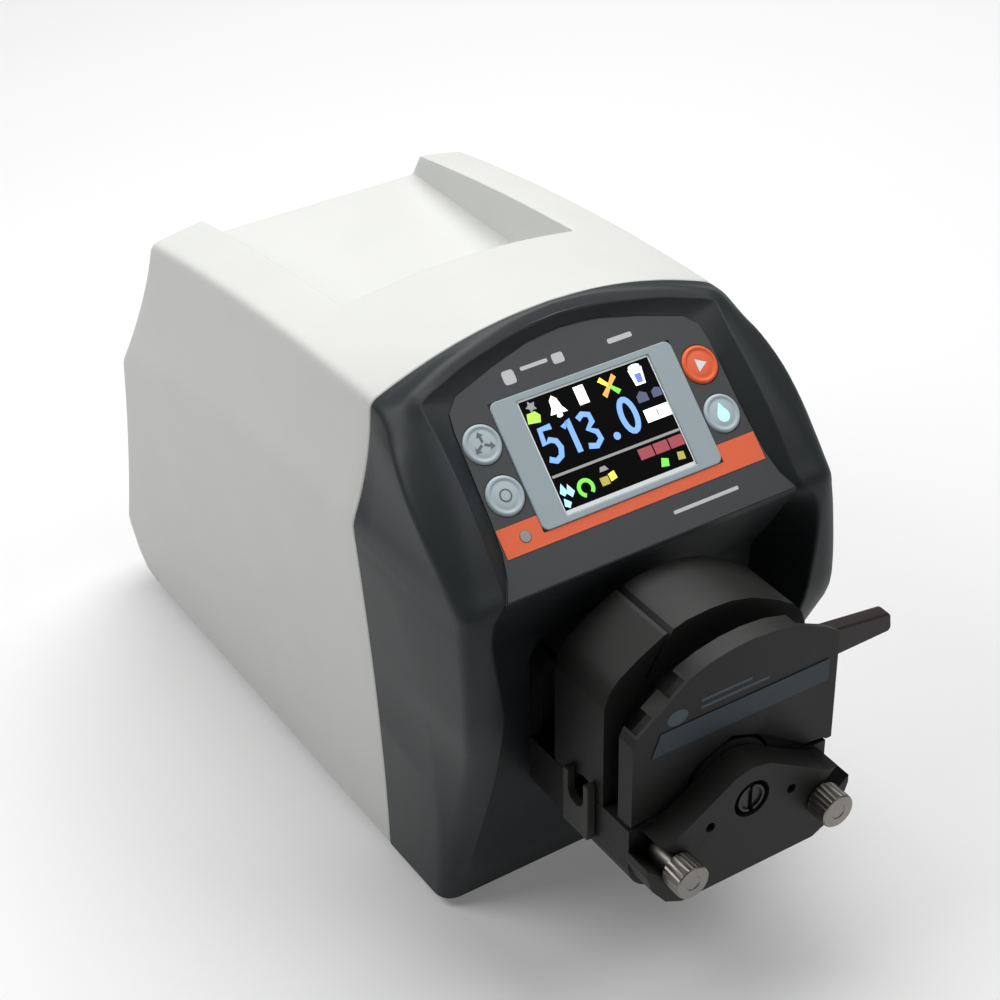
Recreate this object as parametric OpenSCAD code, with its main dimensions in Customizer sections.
// Benchtop peristaltic pump: a drive with a tilted display panel and an
// easy-load pump head with three rollers. Millimetres, +Z up, front towards -Y.
// Inside the modules Y = 0 is the seam between case and bezel, and Z = 0 is the
// underside of the case; placed() moves all of it onto the row's own origin.

/* [Case] */
// Half-width at the waist crease, the widest line of the case
waist_half = 88; // [86:0.5:90]
// Half-width of the two top corners
shoulder_half = 77.8; // [77:0.2:79]
// Half-width along the bottom edge
sill_half = 80; // [79:0.5:81]
// Height of the top corners at the seam
shoulder_z = 213.8; // [212:0.2:215]
// Height of the waist crease at the seam
waist_z = 164; // [162:1:166]
// Rise of the arched top above its corners
crown = 17; // [15:0.5:18]
// Distance from the seam to the upper rear corner
case_depth = 184; // [180:1:188]
// Lean of the rear face, its foot further back than its top
rear_lean = 19.2; // [18:0.2:20]
// Wall thickness of the moulded shells
wall = 2.6; // [2.4:0.1:3]
// Height of the rubber feet
foot_h = 5; // [4:0.5:6]

/* [Top channel] */
// Half-width of the channel floor
channel_half = 51.8; // [50:0.2:53]
// Height of the channel floor
channel_z = 192.3; // [191:0.1:193]
// Distance from the seam to the front wall of the channel
channel_y = 64; // [62:1:68]

/* [Display panel] */
// Tilt of the display panel from the vertical
panel_tilt = 45.8; // [45:0.2:46.6]
// Distance of the panel's lower edge in front of the seam
panel_y = 70.7; // [70:0.1:71.4]
// Height of the panel's lower edge
panel_z = 160.8; // [160:0.1:161.6]
// Depth of the panel below the rim
panel_recess = 2.6; // [2:0.1:3]
// Radius of the four keys
key_r = 7.7; // [7.4:0.1:8]
// Travel of the keys
key_travel = 0.8; // [0.6:0.1:1]

/* [Pump head] */
// Height of the rotor axis above the underside of the case
axis_z = 83.2; // [82:0.2:84]
// Radius of the rotor over its rollers
rotor_r = 25.5; // [25:0.1:25.5]
// Radius of a roller
roller_r = 7; // [6.5:0.5:7]
// Inner radius of the occlusion bed, which squeezes the tubing
bed_r = 29; // [28.5:0.1:29.5]
// Half-width of the head's lower body
head_half = 46; // [45:0.5:47]
// Lift of the pressing block when the lever is opened
block_lift = 5; // [4:0.5:5]

/* [Hidden] */

$fn = 48;
gap = 0.3;                  // clearance between parts that move past each other
seam_y = -50.6;             // seam's place in the row frame
shoulder_drop = 0.0005;     // fall of the top corners per mm squared of depth
waist_drop = 0.00094;       // fall of the waist crease per mm squared of depth
crown_rear = 10;            // rise of the arched top behind the channel lip
lip_taper = 90;             // depth over which the crown falls to crown_rear
rib_half = 53.7;            // half-width of the channel at its upper edges
stations = 17;              // sections along the case
side_steps = 7;             // points along each part of the side
crown_steps = 8;            // points over one half of the arched top
foot_round = 26;            // rise of the case's lower rear corners
foot_start = 0.87;          // share of the depth at which that rise begins

nose_y = panel_y + panel_recess * cos(panel_tilt);
nose_z = panel_z + panel_recess * sin(panel_tilt);
bay_y = 45;                 // pump bay wall, in front of the seam
bay_half = 66;              // half-width of the pump bay
bezel_foot_y = 42.6;        // front face at the foot of the bezel
screw_x = 33.9;             // thumb screws, left and right of the axis
screw_z = 67;               // and their height
neck_r = 4.6;               // their necks, in open grooves of the front cover
pin_x = 41;                 // guide pins of the pressing block
pin_y = 78;
low_cavity_r = 26.4;        // clears the rotor in the lower body
lever_x = 38;               // lever pivot
lever_z = 124;
orbit_r = rotor_r - roller_r;
bed_back_r = 32;            // outer radius of the occlusion bed and its seat
split_z = 80;               // parting line of the head
head_foot = 48.5;           // underside of the head
arch_top = 152;             // top of the pressing block when it is down
port_r = 5;                 // tubing port
block_screw_at = [[-34, 100], [36, 100]];

plate_t = 1.5;              // sheet thickness of base plate and rear panel
plate_z = 3;                // underside of the base plate
foot_y = [-24, 196];        // rows of feet, measured from the seam
foot_x = 62;
panel_foot = 26;            // height of the rear panel's lower edge
fan_x = 40;
fan_z = 128;
inlet_x = -42;
inlet_z = 60;
switch_x = -42;
switch_z = 96;
rocker_rest = 9;            // lean of the rocker at rest
fuse_x = -10;
fuse_z = 58;
signal_x = 38;
signal_z = 62;
rear_screw_at = [[-68, 40], [68, 40], [-76, 120], [76, 120]];

module placed() translate([0, seam_y, foot_h]) children();

// Extrudes a front-view outline from y0 forwards over the length d.
module front_prism(y0, d) translate([0, y0, 0]) rotate([90, 0, 0]) linear_extrude(d) children();

// Extrudes a side-view outline, drawn as (y, z), over the width w centred on X = 0.
module side_prism(w) rotate([90, 0, 90]) translate([0, 0, -w / 2]) linear_extrude(w) children();

// A cylinder along Y from y0 forwards over the length d.
module rod_y(r, y0, d) translate([0, y0, 0]) rotate([90, 0, 0]) cylinder(r = r, h = d);

// Frame of the display panel: x across, y up the slope, z out of its face.
module on_panel() translate([0, -panel_y, panel_z]) rotate([90 - panel_tilt, 0, 0]) children();

// Frame of the rear face: x across, y out of the face, z up the face.
module on_rear(x, z) translate([x, rear_y(z), z]) rotate([rear_lean, 0, 0]) children();

module mirrored() {
    children();
    mirror([1, 0, 0]) children();
}

module rounded_rect(w, h, r) {
    for (x = [-1, 1], y = [-1, 1])
        translate([x * (w / 2 - r), y * (h / 2 - r)]) circle(r);
    square([w - 2 * r, h], center = true);
    square([w, h - 2 * r], center = true);
}

function rear_y(z) = case_depth + (shoulder_z - shoulder_drop * pow(case_depth, 2) - z) * tan(rear_lean);
function shoulder_at(y) = shoulder_z - shoulder_drop * y * y;
function waist_at(y) = waist_z - waist_drop * y * y;
function crown_at(y) = crown_rear + (crown - crown_rear) * pow(max(0, 1 - y / lip_taper), 2);
function arch(x, y) = shoulder_at(y) + crown_at(y) * (1 - pow(x / shoulder_half, 2));
function blend(a, b, t) = a + (b - a) * t;
// Half-width below the waist, nearly upright at the sill and flaring to the waist
function low_half(z, y) = blend(sill_half, waist_half, pow(z / waist_at(y), 1.7));
// Half-width above the waist, hollow below the shoulder
function high_half(t) = blend(shoulder_half, waist_half, pow(t, 1.9));

// ---- case -----------------------------------------------------------------

// Height of the case's lower edge, raised round the lower rear corner
function sill_at(t) = foot_round * pow(max(0, t - foot_start) / (1 - foot_start), 2);

// Left half of a section, from the sill up to the middle of the top, as [x, z].
function section(y, sill, inset, deep) = let (top = shoulder_at(y), mid = waist_at(y)) concat(
    [for (i = [0:side_steps]) let (z = blend(sill, mid, i / side_steps))
        [inset - low_half(z, y), z]],
    [for (i = [1:side_steps]) let (t = 1 - i / side_steps, z = blend(top - 3, mid, t))
        [inset - high_half(t), z - inset * (1 - t)]],
    [[inset - shoulder_half + 1.2, top - inset - 0.6]],
    [[inset - shoulder_half + 3.6, top - inset + 0.6]],
    [for (i = [0:2]) let (x = blend(shoulder_half - 6, rib_half, i / 2))
        [-x, arch(x, y) - inset]],
    [for (i = [0:crown_steps]) let (x = blend(channel_half, 0, i / crown_steps))
        [-x, (deep ? channel_z : arch(x, y)) - inset]]
);

// Full closed section: the outer path one way and the inner path back.
function both(path) = concat(path, [for (i = [len(path) - 2:-1:0]) [-path[i][0], path[i][1]]]);
function reversed(v) = [for (i = [len(v) - 1:-1:0]) v[i]];
function ring(y, sill, deep) =
    concat(both(section(y, sill, 0, deep)), reversed(both(section(y, sill, wall, deep))));

module case_shell() {
    lip = channel_y / case_depth;
    back_of_lip = lip + 0.008;
    steps = concat([for (i = [0:3]) lip * i / 3], [back_of_lip],
        [for (i = [1:stations - 5]) blend(back_of_lip, 1, i / (stations - 5))]);
    rings = [for (k = [0:len(steps) - 1]) let (t = steps[k], y = t * case_depth)
        [for (p = ring(y, sill_at(t), k > 3)) [p[0], t * rear_y(p[1]), p[1]]]];
    n = len(rings[0]);
    m = len(rings);
    half = n / 2;
    points = [for (r = rings, p = r) p];
    skin = [for (k = [0:m - 2], i = [0:n - 1]) let (a = k * n + i, b = k * n + (i + 1) % n)
        each [[a, b, a + n], [b, b + n, a + n]]];
    caps = [for (k = [0, m - 1], i = [0:half - 2]) let (o = k * n)
        each (k == 0 ? [[o + i, o + n - 1 - i, o + i + 1], [o + i + 1, o + n - 1 - i, o + n - 2 - i]]
            : [[o + i, o + i + 1, o + n - 1 - i], [o + i + 1, o + n - 2 - i, o + n - 1 - i]])];
    color("whitesmoke") polyhedron(points, concat(skin, caps), convexity = 6);
}

// ---- bezel ----------------------------------------------------------------

// Outline of the seam, shrunk by inset.
module seam_outline(inset = 0)
    polygon(both(concat([[inset - sill_half, inset]], section(0, 6, inset, false))));

// Outline of the bezel's side, leaning out to the nose and back along the panel.
module side_outline(inset = 0) polygon([[6, inset], [6, shoulder_z + crown + 2],
    [-3 + inset, shoulder_z + crown + 2 - inset], [-nose_y + 2 + inset, nose_z + 1 - inset / 2],
    [-nose_y + inset, nose_z - 2 - inset / 2], [-nose_y - 1 + inset, 149],
    [-nose_y - 2.5 + inset, 132], [-nose_y - 2 + inset, 110], [-67 + inset, 80],
    [-54 + inset, 40], [-47 + inset, 16], [-bezel_foot_y + inset, inset]]);

// Outline of the bezel from above, tapering towards the front.
module plan_outline(inset = 0) polygon(both([[inset - waist_half - 2, 8], [inset - waist_half, 4],
    [inset - 86.2, -20], [inset - 84.4, -41], [inset - 82, -66], [inset - 80, -72 + inset],
    [inset - 76, -78 + inset], [0, -78 + inset]]));

// Space off the lower corner between side and front, leaning outwards with height.
module corner_cut(inset = 0) mirrored() translate([80.4 - 1.6 * inset, -41, 30]) rotate([0, 10.3, 0])
    translate([0, 0, -60]) linear_extrude(180) polygon([[14, 20], [-42, -60], [60, -60], [60, 20]]);

module bezel_solid(inset = 0, seam_start = 0) difference() {
    intersection() {
        front_prism(seam_start, 90) seam_outline(inset);
        side_prism(200) side_outline(inset);
        linear_extrude(260) plan_outline(inset);
    }
    corner_cut(inset);
}

// Outline of the panel's flat, open at its lower edge.
module panel_outline(inset = 0) polygon(both([[inset - 66, 0], [inset - 62, 8],
    [inset - 59.6, 18], [inset - 58.6, 30], [inset - 58, 48], [inset - 57.6, 65], [inset - 56.5, 72],
    [inset - 51.5, 77], [-33, 83.2 - inset], [-16, 87.4 - inset], [0, 88.7 - inset]]));

// Outline of the rim's inner edge, a little wider all round.
module rim_outline() polygon(both([[-67.5, -30], [-67.5, 1], [-65.8, 10], [-64.4, 27], [-63.6, 45],
    [-64.3, 62], [-66.6, 77.6], [-62, 80.4], [-45.5, 86], [-21, 91], [0, 92.6]]));

module front_bezel() color("dimgray") difference() {
    bezel_solid();
    difference() {
        bezel_solid(wall, 1);
        on_panel() translate([-100, -20, -wall]) cube([200, 140, 40]);
        translate([-bay_half - wall, -90, 0]) cube([2 * (bay_half + wall), 90 - bay_y + wall, 163]);
    }
    on_panel() linear_extrude(30) rim_outline();
    bay_cut();
    translate([-75, -36.5, -1]) cube([150, 40, 8]);
    on_panel() translate([-31.5, 21, -10]) cube([63, 48, 20]);
    on_panel() for (x = [-1, 1], y = [37, 57.3])
        translate([x * 48.9, y, -10]) cylinder(r = key_r + gap, h = 20);
    translate([0, 0, axis_z]) rod_y(18, -30, 30);
    for (x = [-1, 1], z = [-1, 1]) translate([x * 34, 0, axis_z + z * 30]) rod_y(2.3, -30, 30);
}

// Bay that the pump head stands in, with a sloping roof under the panel's edge.
module bay_cut() side_prism(2 * bay_half) polygon([[-bay_y, 8], [-bay_y, 118],
    [-panel_y + 1.5, arch_top + block_lift + 0.8], [-panel_y, panel_z - 1], [-100, panel_z - 1],
    [-100, 8]]);

// ---- display and keys -----------------------------------------------------

module panel_overlay() color("darkslategray") on_panel() difference() {
    linear_extrude(0.5) intersection() {
        panel_outline(0.5);
        translate([-100, 0.8]) square([200, 120]);
    }
    translate([-29.5, 22.3, -1]) cube([59, 45.6, 3]);
    for (x = [-1, 1], y = [37, 57.3]) translate([x * 48.9, y, -1]) cylinder(r = key_r + gap, h = 3);
    translate([-58.3, 14.9, -1]) cube([116.6, 11.6, 3]);
    translate([-40.6, 19.5, -1]) cube([81.2, 50.9, 3]);
}

module accent_strip() color("coral") on_panel() difference() {
    translate([-58.2, 15, 0]) cube([116.4, 11.4, 0.7]);
    translate([-40.6, 19.5, -1]) cube([81.2, 20, 3]);
    translate([-48, 20.7, -1]) cylinder(r = 2.4, h = 3);
}

module indicator_window() color("silver") on_panel() translate([-48, 20.7, 0]) cylinder(r = 2.3, h = 0.9);

module display_frame() color("lightsteelblue") on_panel() translate([0, 45, 0]) difference() {
    linear_extrude(1.2) rounded_rect(81, 50.7, 3);
    translate([-29.6, -22.8, -1]) cube([59.2, 45.6, 4]);
}

module display_glass() color("black") on_panel() translate([-29.5, 22.3, -0.4]) cube([59, 45.4, 1]);

module display_module() color("silver") on_panel() translate([-31, 21.3, -5.6]) cube([62, 47.4, 5]);

// A key: cap in the overlay's hole and a stem down to the key board.
module key_at(x, y, tone) color(tone) on_panel() translate([x, y, 0]) {
    translate([0, 0, -0.2]) cylinder(r = key_r, h = 1.6);
    translate([0, 0, -4.9 + key_travel]) cylinder(r = key_r - 1.4, h = 5);
}

module key_upper_left() key_at(-48.9, 57.3, "silver");
module key_lower_left() key_at(-48.9, 37, "silver");
module key_upper_right() key_at(48.9, 57.3, "coral");
module key_lower_right() key_at(48.9, 37, "silver");

module key_board() color("darkgreen") on_panel() mirrored() difference() {
    translate([39.5, 28, -6.6]) cube([19, 38, 1.6]);
    for (y = [31, 63]) translate([55, y, -8]) cylinder(r = 1.2, h = 4);
}

// ---- base, feet and rear --------------------------------------------------

module base_plate() color("gray") difference() {
    side_prism(149) polygon([[-36, plate_z], [214, plate_z], [237, 22], [237, 24], [235.5, 24],
        [213, plate_z + plate_t], [-36, plate_z + plate_t]]);
    for (x = [-1, 1], y = foot_y) translate([x * foot_x, y, 0]) cylinder(r = 2.2, h = 10);
    for (x = [-5:5]) translate([x * 9 - 1.5, 60, 0]) cube([3, 46, 10]);
}

module rubber_feet() color("black") for (x = [-1, 1], y = foot_y) translate([x * foot_x, y, 0]) {
    translate([0, 0, -foot_h]) cylinder(r1 = 7.5, r2 = 9, h = foot_h + plate_z);
    cylinder(r = 2.1, h = plate_z + plate_t + 2);
    translate([0, 0, plate_z + plate_t]) cylinder(r = 3.6, h = 2);
}

// Sheet that closes the rear, set just inside the shell's edge.
module rear_panel() color("gray") difference() {
    on_rear(0, panel_foot) translate([0, -2.5, 0]) rotate([90, 0, 0]) linear_extrude(plate_t)
        polygon(both([[-75.5, 0], [-79, 40], [-82.5, 88], [-83.8, 104], [-81, 116], [-76.5, 140],
            [-74.5, 160], [-73.5, 171], [-55, 172], [-54.5, 171.5], [-54.4, 168], [0, 168]]));
    on_rear(fan_x, fan_z) rod_y(24, 20, 40);
    on_rear(fan_x, fan_z) for (x = [-20, 20], z = [-20, 20]) translate([x, 0, z]) rod_y(1.8, 20, 40);
    on_rear(inlet_x, inlet_z) translate([-13.9, -20, -10.1]) cube([27.8, 40, 20.2]);
    on_rear(switch_x, switch_z) translate([-10.7, -20, -6.7]) cube([21.4, 40, 13.4]);
    on_rear(fuse_x, fuse_z) rod_y(6.2, 20, 40);
    on_rear(signal_x, signal_z) translate([-20, -20, -5.7]) cube([40, 40, 11.4]);
    for (p = rear_screw_at) on_rear(p[0], p[1]) rod_y(1.5, 20, 40);
}

module rear_screws() color("silver") for (p = rear_screw_at) on_rear(p[0], p[1]) {
    rod_y(3, -0.7, 1.8);
    rod_y(1.5, -2, 8);
}

// ---- fan ------------------------------------------------------------------

// Square frame with a hub plate on four spokes, behind the sheet's round opening.
module fan_frame() color("black") on_rear(fan_x, fan_z) translate([0, -4.1, 0]) {
    difference() {
        rotate([90, 0, 0]) linear_extrude(15) rounded_rect(50, 50, 4);
        rod_y(23.2, 1, 20);
        for (x = [-20, 20], z = [-20, 20]) translate([x, 0, z]) rod_y(1.8, 1, 20);
    }
    rod_y(9.5, -12.6, 2.4);
    for (a = [45:90:315]) rotate([0, a, 0]) translate([8, -15, -1.2]) cube([15.6, 2, 2.4]);
}

module fan_rotor() color("dimgray") on_rear(fan_x, fan_z) translate([0, -6.5, 0]) {
    rod_y(10, 0, 9.4);
    for (i = [0:6]) rotate([0, i * 360 / 7, 0]) translate([9, -7, 0]) rotate([35, 0, 0])
        translate([0, -0.7, -4.5]) cube([12.6, 1.4, 9]);
}

// Wire rings on four spokes that end in eyes under the screw heads.
module fan_guard() color("silver") on_rear(fan_x, fan_z) translate([0, -2.5, 0]) {
    for (r = [8, 14, 20]) translate([0, 1.6, 0]) rotate([90, 0, 0]) difference() {
        cylinder(r = r + 0.7, h = 1.2);
        translate([0, 0, -1]) cylinder(r = r - 0.7, h = 4);
    }
    for (a = [45:90:315]) rotate([0, a, 0]) difference() {
        union() {
            translate([7.5, 0, -0.7]) cube([20, 1, 1.4]);
            translate([20 * sqrt(2), 0, 0]) rod_y(2.9, 1, 1);
        }
        translate([20 * sqrt(2), 0, 0]) rod_y(1.8, 3, 6);
    }
}

module fan_screws() color("silver") on_rear(fan_x, fan_z) for (x = [-20, 20], z = [-20, 20])
    translate([x, 0, z]) {
        rod_y(1.79, -1.4, 16);
        rod_y(2.8, -0.1, 1.4);
    }

// ---- rear connectors ------------------------------------------------------

module power_inlet() color("black") on_rear(inlet_x, inlet_z) difference() {
    union() {
        translate([-13.7, -19, -9.9]) cube([27.4, 19, 19.8]);
        translate([-16, -2.5, -12]) cube([32, 3.6, 24]);
    }
    translate([-11.8, -14, -8]) cube([23.6, 20, 16]);
}

module switch_frame() color("black") on_rear(switch_x, switch_z) difference() {
    union() {
        translate([-10.5, -16, -6.5]) cube([21, 16, 13]);
        translate([-12, -2.5, -8]) cube([24, 3.6, 16]);
    }
    translate([-8.5, -12, -5.2]) cube([17, 20, 10.4]);
}

// Rocker that pivots about a pin across its frame, at rest with its lower end out.
module switch_rocker() color("black") on_rear(switch_x, switch_z) translate([-8.1, -3.6, 0])
    rotate([-rocker_rest, 0, 0]) difference() {
        rotate([90, 0, 90]) linear_extrude(16.2)
            polygon([[-2.4, -3.2], [4.6, -4.2], [3.8, 0], [4.6, 4.2], [-2.4, 3.2]]);
        translate([-2, 0, 0]) rotate([0, 90, 0]) cylinder(r = 1.05, h = 20);
    }

module rocker_pin() color("silver") on_rear(switch_x, switch_z) translate([-8.5, -3.6, 0])
    rotate([0, 90, 0]) cylinder(r = 1, h = 17);

module fuse_holder() color("black") on_rear(fuse_x, fuse_z) {
    rod_y(6, 0, 24);
    rod_y(7.6, 4, 6.5);
}

module signal_connector() color("silver") on_rear(signal_x, signal_z) difference() {
    union() {
        translate([-26.5, -2.5, -6.2]) cube([53, 1, 12.4]);
        translate([-19.6, -12, -5.4]) cube([39.2, 15, 10.8]);
        for (x = [-23.5, 23.5]) translate([x, 0, 0]) rod_y(2.4, 2, 4);
    }
    translate([-18.2, -3, -4.2]) cube([36.4, 10, 8.4]);
}

// ---- drive internals ------------------------------------------------------

module motor_bracket() color("silver") difference() {
    union() {
        translate([-52, -41.4, axis_z - 40]) cube([104, 6, 80]);
        translate([-52, -41.4, plate_z + plate_t + 2.7]) cube([104, 6, 40]);
        translate([-52, -39.8, plate_z + plate_t]) cube([104, 18.4, 3]);
    }
    translate([0, 0, axis_z]) rod_y(19.5, -30, 20);
    for (x = [-1, 1], z = [-1, 1]) translate([x * 23.6, 0, axis_z + z * 23.6]) {
        rod_y(2.5, -30, 20);
        rod_y(4.4, -38.4, 20);
    }
    for (x = [-1, 1], z = [-1, 1]) translate([x * 34, 0, axis_z + z * 30]) rod_y(2.3, -30, 20);
    for (x = [-1, 1]) translate([x * 40, -28, 0]) cylinder(r = 2.2, h = 12);
}

module motor_body() color("black") translate([0, 0, axis_z]) difference() {
    front_prism(42.4, 77.7) rounded_rect(57, 57, 5);
    rod_y(4.3, 60, 120);
}

module motor_end_cap() color("silver") translate([0, 0, axis_z]) difference() {
    front_prism(52.5, 10) rounded_rect(57, 57, 5);
    rod_y(4.3, 51, 40);
}

module motor_screws() color("silver") translate([0, 0, axis_z])
    for (x = [-1, 1], z = [-1, 1]) translate([x * 23.6, 0, z * 23.6]) {
        rod_y(2.5, -35.3, 3.2);
        rod_y(4.2, -38.4, 2.8);
    }

module drive_shaft() color("silver") translate([0, 0, axis_z]) rod_y(4, 50, 95);

module shaft_coupling() color("silver") translate([0, 0, axis_z]) difference() {
    rod_y(11, -36, 17.8);
    rod_y(4.01, -35, 20);
    translate([0, -40, 5]) cylinder(r = 1.5, h = 8);
    translate([0, -49.5, 5]) cylinder(r = 1.5, h = 8);
}

module power_supply() color("silver") difference() {
    translate([-72, 70, plate_z + plate_t + 0.2]) cube([58, 110, 36]);
    for (i = [0:9], k = [0:2]) translate([-62 + k * 15, 80 + i * 9, 30]) cube([9, 3, 20]);
    translate([-69, 73, 8]) cube([52, 104, 29.5]);
}

module control_board() color("darkgreen") translate([-40, 62, 128]) difference() {
    cube([80, 90, 1.6]);
    for (x = [5, 75], y = [5, 85]) translate([x, y, -1]) cylinder(r = 1.6, h = 4);
}

module board_standoffs() color("gold") for (x = [-35, 35], y = [67, 147])
    translate([x, y, 129.6]) {
        cylinder(r = 3, h = channel_z - wall - 129.6);
        translate([0, 0, -4]) cylinder(r = 1.5, h = 6);
        translate([0, 0, -4]) cylinder(r = 2.8, h = 2.3);
    }

// ---- pump head ------------------------------------------------------------

module head_adapter() color("darkslategray") difference() {
    front_prism(-bay_y, 9) translate([0, axis_z - 4]) rounded_rect(80, 76, 12);
    translate([0, 0, axis_z]) rod_y(12.5, -40, 20);
    for (x = [-1, 1]) translate([x * screw_x, 0, screw_z]) rod_y(3.3, -40, 20);
    for (x = [-1, 1], z = [-1, 1]) translate([x * 34, 0, axis_z + z * 30]) rod_y(2.2, -40, 20);
}

module lower_outline() intersection() {
    translate([0, head_foot + 35]) rounded_rect(2 * head_half, 70, 14);
    translate([-60, head_foot - 4]) square([120, split_z - head_foot + 4]);
}

// Arched outline of the pressing block, with flat facets over its shoulders.
module arch_outline(inset = 0) polygon(both([[inset - head_half, split_z + 0.4],
    [inset - head_half, 126], [inset - 44, 132 - inset], [inset - 40, 137 - inset],
    [inset - 31, 143 - inset], [-20, 148.6 - inset], [-10, arch_top - 0.6 - inset],
    [0, arch_top - inset]]));

module lower_body() color("dimgray") difference() {
    union() {
        front_prism(-54.2, 65.3) lower_outline();
        translate([0, 0, axis_z]) rod_y(18, -54.2, 14.8);
        translate([0, 0, axis_z]) rod_y(18, -103.5, 16);
    }
    translate([0, 0, axis_z]) {
        rod_y(low_cavity_r, -69, 34.5);
        rod_y(9, -50, 80);
        rod_y(14, -110.8, 12);
        rod_y(14, -50, 12.4);
    }
    for (x = [-1, 1]) translate([x * screw_x, 0, screw_z]) rod_y(3.3, -50, 80);
    for (x = [-1, 1]) translate([x * pin_x, -pin_y, 60]) cylinder(r = 2.5, h = 30);
    translate([-60, -91, split_z]) rotate([0, 90, 0]) cylinder(r = port_r + 1, h = 120);
}

module front_cover() color("dimgray") difference() {
    front_prism(-119.8, 13) cover_outline();
    translate([0, 0, axis_z]) rod_y(8, -110, 30);
    for (side = [-1, 1]) translate([side * screw_x, 0, screw_z]) {
        rod_y(neck_r + gap, -110, 30);
        rotate([0, side * 50, 0]) translate([-neck_r - gap, -140, 0]) cube([2 * (neck_r + gap), 30, 30]);
    }
    for (x = [-1, 1]) translate([x * 18.9, 0, 78.7]) rod_y(2, -126, 10);
}

module cover_outline() {
    polygon(both([[-31, head_foot - 0.3], [-38.5, 52], [-44.5, 60], [-47.2, 68], [-47, 74],
        [-43.5, 79.2], [-36, 79.8], [-21.3, 88.5], [-8, 96.8], [0, 98.6]]));
}

module front_bearing() color("silver") bearing(-111);
module rear_bearing() color("silver") bearing(-54.3);

// Ball bearing 12 x 28 x 8, drawn as one ring.
module bearing(y) translate([0, 0, axis_z]) difference() {
    rod_y(14, y, 8);
    rod_y(6.04, y + 1, 12);
}

module pressing_block() color("dimgray") difference() {
    front_prism(-71.5, 31.5) arch_outline();
    translate([0, 0, axis_z]) {
        rod_y(bed_back_r, -75, 25);
        rod_y(rotor_r + 1.4, -70, 40);
    }
    translate([-bed_back_r, -100, 70]) cube([2 * bed_back_r, 25, axis_z - 70]);
    translate([-rotor_r - 1.4, -110, 70]) cube([2 * rotor_r + 2.8, 50, axis_z - 70]);
    for (x = [-1, 1]) translate([x * pin_x, -pin_y, 60]) cylinder(r = 2.5 + gap, h = 38);
    for (p = block_screw_at) translate([p[0], 0, p[1]]) rod_y(2, -92, 20);
    translate([-60, -91, split_z]) rotate([0, 90, 0]) cylinder(r = port_r + 1, h = 120);
    translate([-28, -104, 132]) rotate([0, 32, 0]) translate([-0.9, 0, 0]) cube([1.8, 34, 30]);
}

module occlusion_bed() color("silver") translate([0, 0, axis_z]) difference() {
    rod_y(bed_back_r - 0.1, -75.2, 24.6);
    rod_y(bed_r, -70, 40);
    translate([-50, -110, -50]) cube([100, 50, 56]);
}

module label_outline() polygon([[-45, split_z + 0.4], [-45, 119], [-43.5, 122.5], [-30, 132.5],
    [-20.5, 140], [-12, 143.2], [-2, 145.2], [8, 145.8], [19, 144.8], [30, 141.6], [42, 136],
    [48.8, 131], [48.8, split_z + 0.4]]);

module label_block() color("dimgray") difference() {
    union() {
        front_prism(-103.1, 8.5) polygon([[-38, split_z + 0.4], [-38, 112], [-30, 124],
            [-20, 131], [0, 136], [20, 135.5], [38, 129], [42, 118], [42, split_z + 0.4]]);
        front_prism(-111, 8.5) label_outline();
    }
    translate([0, 0, axis_z]) rod_y(19.4, -100, 30);
    translate([-19.4, -130, 60]) cube([38.8, 30, axis_z - 60]);
    front_prism(-118, 4) polygon(both([[-60, 70], [-44.5, 81.8], [-36, 83], [-14, 98.5], [0, 104]]));
    // undercut along the slanting edge, either side of a lug
    translate([-43.5, -117.9, 122.5]) rotate([0, -36.8, 0]) {
        translate([1, 0, -5]) cube([8.5, 7.5, 12]);
        translate([18.5, 0, -5]) cube([8.5, 7.5, 12]);
    }
    translate([lever_x - 9, -117.2, lever_z - 9.5]) cube([60, 7.6, 40]);
    translate([lever_x, 0, lever_z]) rod_y(2.5, -100, 17.6);
    for (p = block_screw_at) translate([p[0], 0, p[1]]) rod_y(2, -100, 16);
}

module head_label() color("cadetblue") front_prism(-119.5, 0.4)
    polygon([[-37, 110.5], [44.5, 110.5], [44.5, 120.5], [-33, 120.5]]);

module lever() color("black") translate([lever_x, 0, lever_z]) difference() {
    front_prism(-110.2, 6.4) {
        circle(7.5);
        polygon([[0, -7.5], [38.2, -7], [39.6, -5.6], [38.9, 0.6], [37.4, 2], [0, 7.5]]);
    }
    rod_y(2.55, -105, 20);
}

module lever_pin() color("silver") translate([lever_x, 0, lever_z]) rod_y(2.5, -105, 12.6);

module block_screws() color("silver") for (p = block_screw_at)
    translate([p[0], 0, p[1]]) rod_y(2, -92.5, 23.3);

module guide_pins() color("silver") for (x = [-1, 1])
    translate([x * pin_x, -pin_y, 60.2]) cylinder(r = 2.49, h = 35);

module tube_clamp(side) color("silver") translate([side * (head_half + gap), -91, 0]) difference() {
    translate([side > 0 ? 0 : -4, -8, 62]) cube([4, 16, 26]);
    translate([-10, 0, split_z]) rotate([0, 90, 0]) cylinder(r = port_r, h = 20);
    translate([-10, -port_r, split_z]) cube([20, 2 * port_r, 20]);
}

module tube_clamp_left() tube_clamp(-1);
module tube_clamp_right() tube_clamp(1);

module thumb_screw(x) color("silver") translate([x, 0, screw_z]) {
    rod_y(2.99, -48, 85.2);
    rod_y(neck_r, -119.8, 14);
    rod_y(7.3, -133.1, 9.9);
}

module thumb_screw_left() thumb_screw(-screw_x);
module thumb_screw_right() thumb_screw(screw_x);

// ---- rotor ----------------------------------------------------------------

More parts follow.
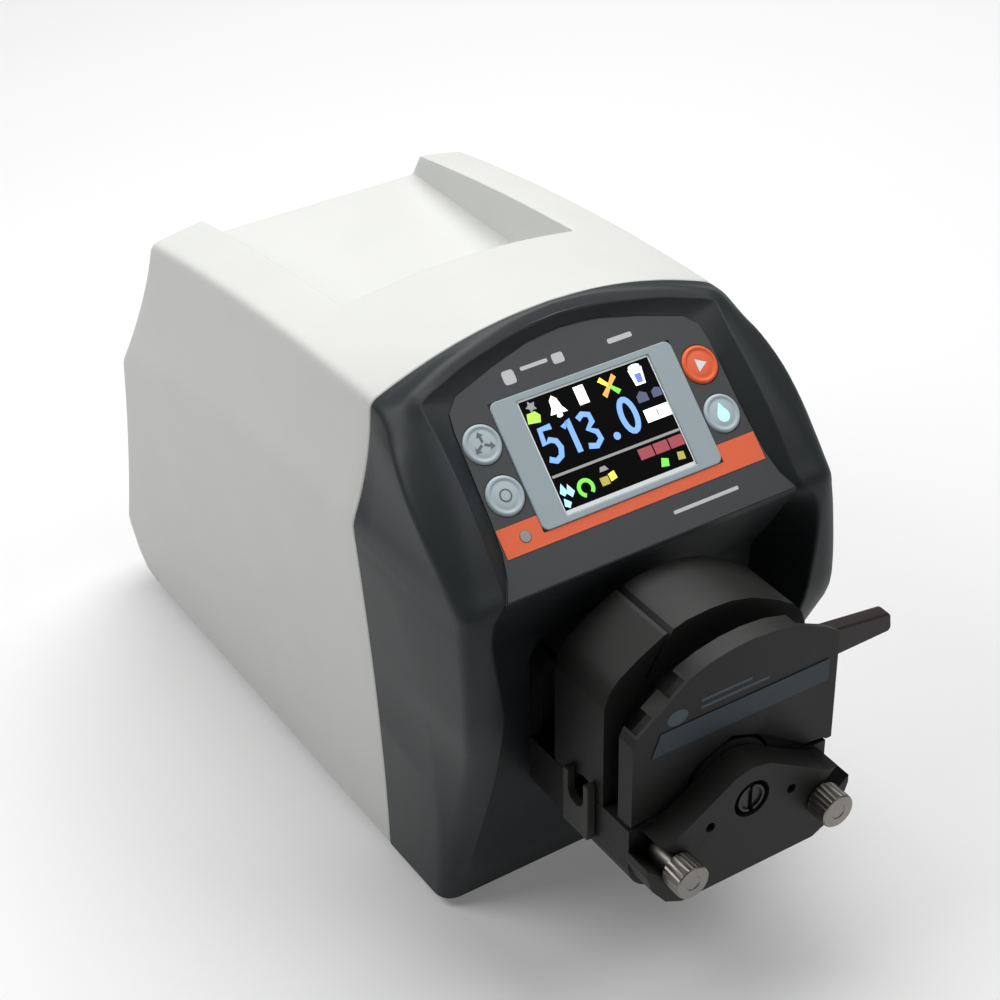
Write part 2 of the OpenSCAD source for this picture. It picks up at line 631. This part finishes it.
module rotor_hub() color("silver") translate([0, 0, axis_z]) difference() {
    union() {
        rod_y(4, -45.2, 10);
        rod_y(6, -54.2, 78.3);
        rod_y(9, -73.6, 24);
    }
    rod_y(4.9, -131.6, 3);
    translate([-1, -135, -6]) cube([2, 5, 12]);
}

module at_roller(i) rotate([0, 90 + i * 120, 0]) translate([orbit_r, 0, 0]) children();

module roller_plates() color("silver") translate([0, 0, axis_z]) for (y = [-70.2, -97.8]) difference() {
    rod_y(24.5, y, 3.2);
    rod_y(6, y + 1, 6);
    for (i = [0:2]) at_roller(i) rod_y(2.5, y + 1, 6);
}

module roller_pins() color("silver") translate([0, 0, axis_z]) for (i = [0:2])
    at_roller(i) rod_y(2.5, -70.2, 30.8);

module roller(i) color("white") translate([0, 0, axis_z]) at_roller(i) difference() {
    rod_y(roller_r, -73.7, 23.8);
    rod_y(2.55, -70, 40);
}

module roller_1() roller(0);
module roller_2() roller(1);
module roller_3() roller(2);

placed() case_shell();
placed() front_bezel();
placed() base_plate();
placed() rubber_feet();
placed() rear_panel();
placed() panel_overlay();
placed() accent_strip();
placed() indicator_window();
placed() display_frame();
placed() display_glass();
placed() display_module();
placed() key_upper_left();
placed() key_lower_left();
placed() key_upper_right();
placed() key_lower_right();
placed() key_board();
placed() motor_bracket();
placed() motor_body();
placed() motor_end_cap();
placed() motor_screws();
placed() drive_shaft();
placed() shaft_coupling();
placed() power_supply();
placed() control_board();
placed() board_standoffs();
placed() fan_frame();
placed() fan_rotor();
placed() fan_guard();
placed() fan_screws();
placed() power_inlet();
placed() switch_frame();
placed() switch_rocker();
placed() rocker_pin();
placed() fuse_holder();
placed() signal_connector();
placed() rear_screws();
placed() head_adapter();
placed() lower_body();
placed() front_cover();
placed() front_bearing();
placed() rear_bearing();
placed() pressing_block();
placed() occlusion_bed();
placed() label_block();
placed() head_label();
placed() lever();
placed() lever_pin();
placed() rotor_hub();
placed() roller_plates();
placed() roller_pins();
placed() roller_1();
placed() roller_2();
placed() roller_3();
placed() tube_clamp_left();
placed() tube_clamp_right();
placed() thumb_screw_left();
placed() thumb_screw_right();
placed() guide_pins();
placed() block_screws();
